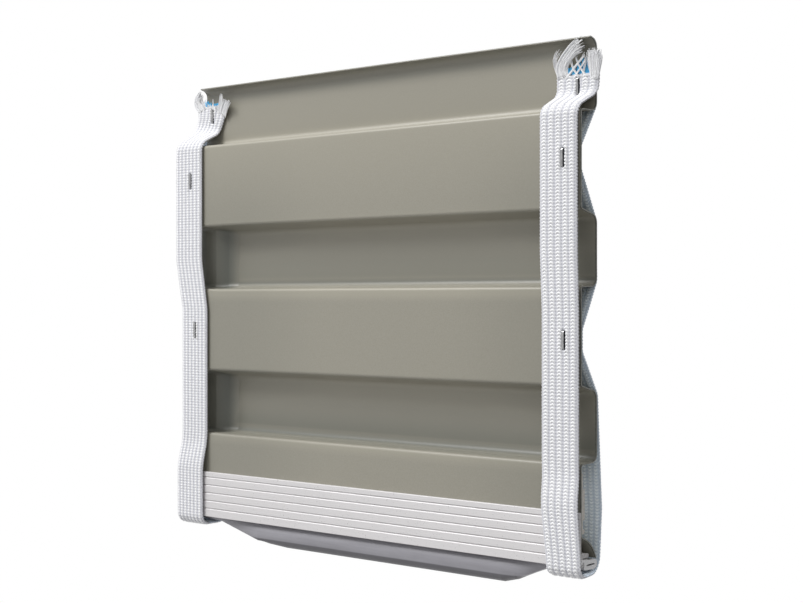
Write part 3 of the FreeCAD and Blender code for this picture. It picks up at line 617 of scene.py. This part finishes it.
def tape_face(side, length, face, weave, s, curves):
    """X, Y, Z, painted shade and painted skylight tint of one face of the tape, row by row"""
    columns, kind = weave
    slope, half_rope = ROPES[kind]
    width = TAPE_SPANS[side][1] - TAPE_SPANS[side][0]
    across, share, way = column_places(columns, width, half_rope)
    walked = np.clip(s[:, None] + slope * way, 0, s[-1])
    y, z, out_y, out_z, low, high = (np.interp(walked, s, curve) for curve in curves)
    x = low + (high - low) * across
    if side == "left" and length == "front":
        z += DIVE_LIFT * (1 - across) * np.exp(-(((z - DIVE_HEIGHT) / DIVE_REACH) ** 2))
    slot, swell = staple_nearness(side, x, z)
    if face < 0:
        slot = np.zeros_like(slot)
    rise = weave_rise(side, share, swell)
    off_middle = np.abs(2 * across - 1)
    shoulder = np.clip(1 - off_middle**9, 0, 1) ** 0.5
    ground = TAPE_THICKNESS / 2 - GROUND_DEPTH
    lift = (ground + rise * (1 - slot) - SLOT_DEPTH * slot + SWELL_RISE * swell) * shoulder * face
    notch = EDGE_NOTCH * np.cos(2 * math.pi * np.arange(len(s))[:, None] / ROW_STEPS)
    x += notch * off_middle**16 * np.sign(across - 0.5)
    # painted shade: darker in the weave's hollows, darkest in the staple slots
    shade = np.clip(SHADE_FLOOR + SHADE_RISE * rise, 0, 1) * (1 - slot)
    # where the painted skylight tint goes
    inside = np.full_like(shade, length == "back" and face < 0)
    return x, y + out_y * lift, z + out_z * lift, shade, inside


def make_tape(side):
    """woven tape along its route, in a front and a back length that meet under the rail"""
    line, s = route_line(TAPE_ROUTES[side])
    along = unit(np.gradient(line, axis=0))
    curves = np.array([*line.T, along[:, 1], -along[:, 0], *tape_edges(side, line)])
    turn = int(np.argmin(line[:, 1]))
    inner_kinds = {"front": "flat", "back": "plain"}
    outer_weaves = {"front": FRONT_WEAVES[side], "back": (BACK_COLUMNS, "plain")}
    for length, part in (("front", slice(0, turn + 1)), ("back", slice(turn, len(s)))):
        own = (s[part] - s[part][0], curves[:, part])
        outer = tape_face(side, length, 1, outer_weaves[length], *own)
        inner = tape_face(side, length, -1, (BACK_COLUMNS, inner_kinds[length]), *own)
        rings = [np.concatenate([a, b[:, ::-1]], 1) for a, b in zip(outer, inner)]
        points = np.stack(rings[:3], 2).reshape(-1, 3)
        stored = {"weave": rings[3], "inside": rings[4]}
        faces = ring_faces(*rings[0].shape)
        name = f"{side}_{length}_tape_weave"
        soft_piece(name, points, faces, stored, TAPE_YARN, f"{side}_tape")


def ring_faces(rings, sides):
    """faces of a closed tube through rings of points"""
    here = np.arange(sides)
    beside = (here + 1) % sides
    start = np.arange(rings - 1)[:, None] * sides
    quads = [start + here, start + beside, start + beside + sides, start + here + sides]
    ends = [here[::-1].tolist(), (here + (rings - 1) * sides).tolist()]
    return np.stack(quads, 2).reshape(-1, 4).tolist() + ends


def new_object(name, data):
    """new object in the scene"""
    made = bpy.data.objects.new(name, data)
    bpy.context.scene.collection.objects.link(made)
    return made


def soft_piece(name, points, faces, stored, material, node):
    """smooth mesh that stands for a soft node, with values stored on its points"""
    mesh = bpy.data.meshes.new(name)
    mesh.from_pydata((points * MM).tolist(), [], faces)
    mesh.shade_smooth()
    for attribute, values in stored.items():
        mesh.attributes.new(attribute, "FLOAT", "POINT").data.foreach_set("value", values.reshape(-1))
    mesh.materials.append(material)
    piece = new_object(name, mesh)
    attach(piece, "curtain")
    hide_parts(node)


def tube(points, radius):
    """points of a thin tube along a strand, which narrows to its tip"""
    along = unit(np.gradient(points, axis=0))
    guide = np.where(np.abs(along[:, :1]) > 0.9, [[0.0, 1.0, 0.0]], [[1.0, 0.0, 0.0]])
    first = unit(np.cross(along, guide))
    second = np.cross(along, first)
    size = radius * np.linspace(1, YARN_TIP, len(points))[:, None]
    ring = []
    for corner in range(YARN_SIDES):
        angle = 2 * math.pi * corner / YARN_SIDES
        ring.append(points + size * (math.cos(angle) * first + math.sin(angle) * second))
    return np.stack(ring, 1).reshape(-1, 3)


def yarn_piece(name, strands, material, node):
    """one mesh of many strands, given as (points, radius)"""
    points, faces, tones = [], [], []
    rng = np.random.default_rng(TONE_SEED)
    start = 0
    for strand, radius in strands:
        points.append(tube(strand, radius))
        faces += [[corner + start for corner in face] for face in ring_faces(len(strand), YARN_SIDES)]
        # random tone per strand, which also paints shade between strands
        tones.append(np.full(len(points[-1]), rng.uniform(*YARN_TONES)))
        start += len(points[-1])
    stored = {"weave": np.concatenate(tones)}
    soft_piece(name, np.concatenate(points), faces, stored, material, node)


def smooth_curve(places, count):
    """points of a smooth curve through a few places"""
    places = np.array(places, float)
    padded = np.concatenate([[2 * places[0] - places[1]], places, [2 * places[-1] - places[-2]]])
    spans = len(places) - 1
    points = []
    for part in np.linspace(0, spans, count):
        number = min(int(part), spans - 1)
        t = part - number
        a, b, c, d = padded[number : number + 4]
        bend = 2 * a - 5 * b + 4 * c - d
        twist = 3 * b - a - 3 * c + d
        points.append((2 * b + (c - a) * t + bend * t**2 + twist * t**3) / 2)
    return np.array(points)


def bundle(rng, places, foot_width, tip_width, count, radius, wave=WAVE):
    """strands side by side along one curve, parting and waving towards their tips"""
    middle = smooth_curve(places, YARN_POINTS)
    along = unit(np.gradient(middle, axis=0))
    beside = np.stack([along[:, 2], np.zeros(YARN_POINTS), -along[:, 0]], 1)
    beside /= np.maximum(np.linalg.norm(beside, axis=1)[:, None], LEAST_BESIDE)
    part = np.linspace(0, 1, YARN_POINTS)
    width = foot_width + (tip_width - foot_width) * part
    strands = []
    for number in range(count):
        spot = (number + 0.5) / count * 2 - 1 + rng.normal(0, SPOT_SPREAD)
        points = middle + beside * (spot * width / 2)[:, None]
        points[:, 1] += rng.normal(0, DEPTH_SPREAD) * (0.5 + part)
        phase = rng.uniform(0, math.tau)
        points += beside * (wave * np.sin(part * rng.uniform(*WAVES) + phase) * part)[:, None]
        points[:, 1] += wave * DEPTH_SHARE * np.cos(part * DEPTH_WAVES + phase) * part
        reach = int(YARN_POINTS * rng.uniform(*LENGTHS))
        strands.append((points[:reach], radius * rng.uniform(*RADII)))
    return strands


def front_strands(rng, side):
    """loose white strands at a front cut end"""
    strands = []
    for places, *shape in LOOSE_ENDS[side]:
        strands += bundle(rng, places, *shape)
    return strands


def back_strands(rng, side):
    """loose white strands at a back cut end, inside the box of their node"""
    low, high = box_of(f"{side}_back_frayed_end")
    y, z = TAPE_ROUTES[side][-1][:2]
    strands = []
    for part in np.linspace(0.06, 0.94, BACK_BUNDLES):
        x = low[0] + (high[0] - low[0]) * part
        rise = (high[2] - z) * rng.uniform(0.7, 1.0)
        tip_y = y + (high[1] - y) * rng.uniform(0.2, 0.9)
        foot = (x, y, z - 1.0)
        middle = (x + rng.normal(0, 0.3), y, z + rise * 0.4)
        tip = (x + rng.normal(0, 0.9), tip_y, z + rise)
        tip_width = rng.uniform(1.0, 3.0)
        strands += bundle(rng, [foot, middle, tip], BACK_WIDTH, tip_width, BACK_STRANDS, BACK_RADIUS)
    return strands


def core_strands(rng, side):
    """coloured strands between the white ones"""
    strands = []
    for x, foot, tip in CORE_ENDS[side]:
        sideways = (x, x + rng.normal(0, 0.2), x)
        places = list(zip(sideways, CORE_DEPTHS, (foot, (foot + tip) / 2, tip)))
        strands += bundle(rng, places, CORE_WIDTH, CORE_WIDTH, CORE_STRANDS, CORE_RADIUS, CORE_WAVE)
    return strands


def make_frays():
    """loose yarns at the tapes' cut ends"""
    rng = np.random.default_rng(FRAY_SEED)
    for side in SIDES:
        for name, strands, material, node, slot in (
            ("front_loose_yarns", front_strands, WHITE_YARN, "front_frayed_end", "loose_yarn"),
            ("back_loose_yarns", back_strands, WHITE_YARN, "back_frayed_end", "loose_yarn"),
            ("blue_yarns", core_strands, BLUE_YARN, "core_yarns", "core_yarn"),
        ):
            yarn_piece(f"{side}_{name}", strands(rng, side), material, f"{side}_{node}")


def seen_straight(tree):
    """1 for rays from the camera, from gloss and through glass"""
    path = add(tree, "ShaderNodeLightPath").outputs
    straight = maths(tree, "MAXIMUM", path["Is Camera Ray"], path["Is Glossy Ray"])
    return maths(tree, "MAXIMUM", straight, path["Is Transmission Ray"])


def make_floor():
    """round floor that looks white and lights the object like a grey one"""
    material, tree, shader = new_material("pale_floor")
    set_inputs(tree, shader, {"Base Color": PALE_FLOOR, "Roughness": 0.9})
    glow = add(tree, "ShaderNodeEmission", {"Color": PURE_WHITE})
    share = maths(tree, "MULTIPLY", seen_straight(tree), FLOOR_GLOW)
    blend = add(tree, "ShaderNodeMixShader", {0: share, 1: shader.outputs[0], 2: glow.outputs[0]})
    set_inputs(tree, tree.nodes["Material Output"], {"Surface": blend.outputs[0]})
    rim = []
    for side in range(FLOOR_SIDES):
        turn = 2 * math.pi * side / FLOOR_SIDES
        rim.append((FLOOR_RADIUS * math.cos(turn), FLOOR_RADIUS * math.sin(turn), FLOOR_HEIGHT))
    mesh = bpy.data.meshes.new("floor")
    mesh.from_pydata(rim, [], [tuple(range(FLOOR_SIDES))])
    mesh.materials.append(material)
    new_object("floor", mesh)


def make_surroundings():
    """surroundings that look white and shine more strongly from the upper left front"""
    world = bpy.data.worlds.new("soft_surroundings")
    bpy.context.scene.world = world
    world.use_nodes = True
    tree = world.node_tree
    generated = add(tree, "ShaderNodeTexCoord").outputs["Generated"]
    facing = add(tree, "ShaderNodeVectorMath", {0: generated, 1: SKY_SIDE}, operation="DOT_PRODUCT")
    facing = facing.outputs["Value"]
    soft = remap(tree, facing, SKY_START, SKY_END, SKY_LOW, SKY_HIGH, "SMOOTHSTEP")
    seen = seen_straight(tree)
    strength = maths(tree, "MULTIPLY_ADD", soft, maths(tree, "SUBTRACT", 1.0, seen), seen)
    set_inputs(tree, tree.nodes["Background"], {"Color": PURE_WHITE, "Strength": strength})


def make_lamps():
    """soft key lamp from the left and a weaker lamp behind, both aimed at the object"""
    for name, (spot, power) in LAMPS.items():
        lamp = bpy.data.lights.new(name, "AREA")
        lamp.shape = "SQUARE"
        lamp.size = LAMP_SIZE
        lamp.energy = power
        made = new_object(name, lamp)
        made.location = spot
        x, y, z = np.subtract(spot, LAMP_AIM)
        made.rotation_euler = (math.atan2(math.hypot(x, y), z), 0.0, math.atan2(x, -y))


def make_camera():
    """level camera in front at the right"""
    camera = bpy.data.cameras.new("camera")
    camera.lens = LENS
    camera.sensor_width = SENSOR_WIDTH
    camera.sensor_fit = "HORIZONTAL"
    camera.shift_y = SHIFT_PIXELS / PHOTO_WIDTH
    camera.clip_start = CLIP_START
    made = new_object("camera", camera)
    made.location = CAMERA_PLACE
    made.rotation_euler = (math.pi / 2, 0.0, math.radians(CAMERA_TURN))
    bpy.context.scene.camera = made


bpy.context.scene.view_settings.view_transform = "Standard"
TAPE_YARN = fibre("tape_weave", *TAPE_WHITES)
WHITE_YARN = fibre("loose_yarn", *YARN_WHITES)
BLUE_YARN = fibre("core_yarn", *CORE_BLUES)
dress("curtain_sheet", coated_steel())
for node, name, colour, rough in (
    ("bottom_rail", "rail_aluminium", RAIL_COLOUR, 0.52),
    ("rail_backing_strip", "strip_aluminium", STRIP_COLOUR, 0.5),
):
    dress(node, extruded_metal(name, node, colour, rough))
dress("weather_seal", rubber())
wire = galvanised_shaded_wire()
for side in SIDES:
    dress(f"{side}_rail_rivet", wire)
    for which in STAPLES:
        dress(f"{side}_{which}_staple", wire)
    make_tape(side)
make_frays()
make_floor()
make_surroundings()
make_lamps()
make_camera()
